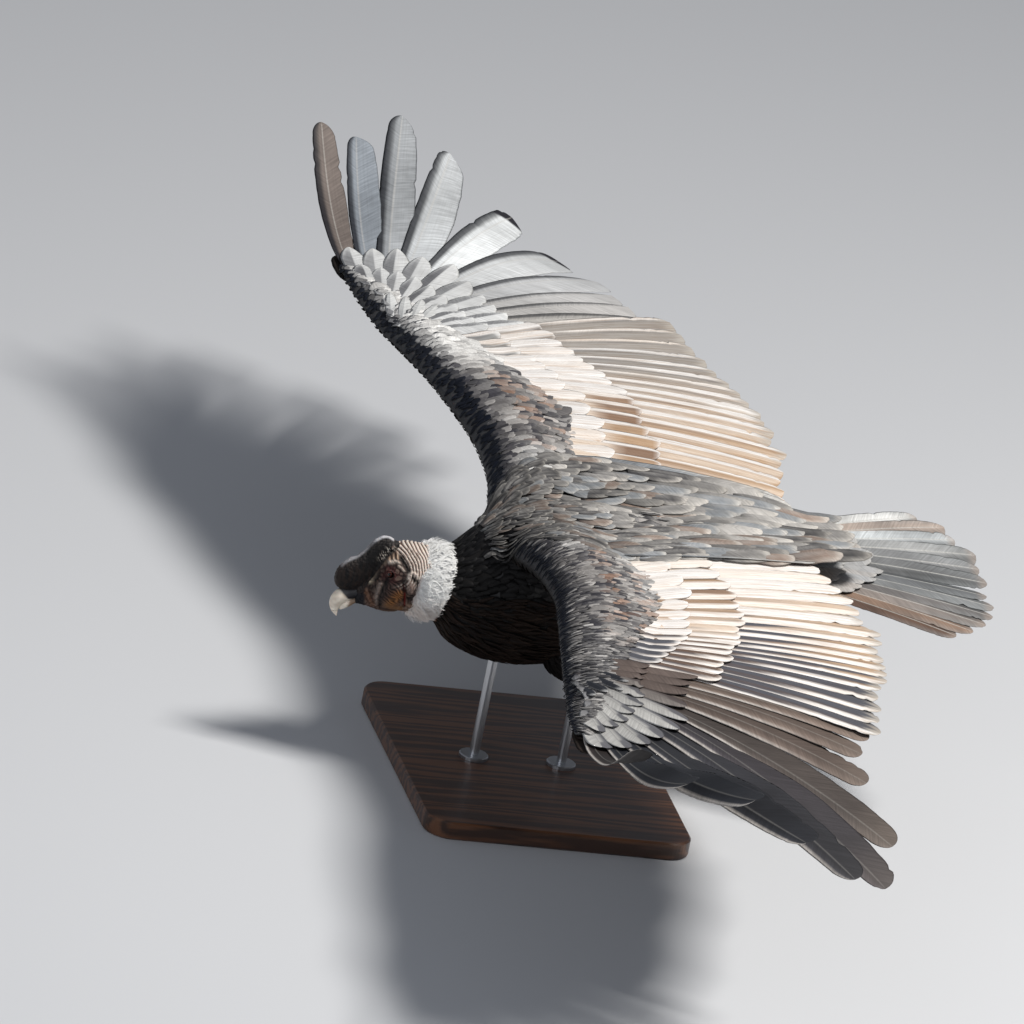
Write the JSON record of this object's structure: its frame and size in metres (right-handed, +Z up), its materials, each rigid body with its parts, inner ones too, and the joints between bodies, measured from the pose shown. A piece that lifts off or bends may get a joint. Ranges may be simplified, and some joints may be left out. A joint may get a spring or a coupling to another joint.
{
  "type": "andean condor model",
  "caption": "Life-size still model of an adult male Andean condor gliding with spread wings and splayed wing-tip feathers, held on a plain wooden base by steel rods.",
  "frame": {"origin": "centre of the stand base's underside, on the floor", "axes": "+X to the bird's left along the span, +Y aft toward the tail (the bird faces -Y), +Z up"},
  "size_m": [2.744, 1.0693, 0.59],
  "materials": {
    "black_plumage": "soft overlapping black feathers",
    "ruff_down": "dense fluffy white down",
    "head_skin": "bare wrinkled grey-brown skin",
    "comb_skin": "dark pebbled fleshy comb",
    "bill_horn": "black horn turning ivory at the hook, satin",
    "eye": "dark red-brown, wet gloss",
    "wing_plumage": "grey and white coverts and secondaries",
    "flight_plumage": "brown-black flight feathers with a silver sheen",
    "tail_plumage": "worn grey-brown tail feathers",
    "leg_skin": "scaly grey leg skin with dark blunt claws",
    "stand_wood": "stained wood, satin",
    "stand_steel": "brushed steel"
  },
  "bodies": {
    "root": {"torso": "black_plumage", "ruff": "ruff_down", "neck": "head_skin", "head": "head_skin", "comb": "comb_skin", "wattle": "head_skin", "bill_upper": "bill_horn", "bill_lower": "bill_horn", "eye_left": "eye", "eye_right": "eye", "wing_left_arm": "wing_plumage", "wing_right_arm": "wing_plumage", "wing_left_hand": "flight_plumage", "wing_right_hand": "flight_plumage", "tail": "tail_plumage", "thigh_left": "black_plumage", "thigh_right": "black_plumage", "foot_left": "leg_skin", "foot_right": "leg_skin", "stand_base": "stand_wood", "stand_rod_front": "stand_steel", "stand_rod_rear": "stand_steel"}
  },
  "joints": []
}
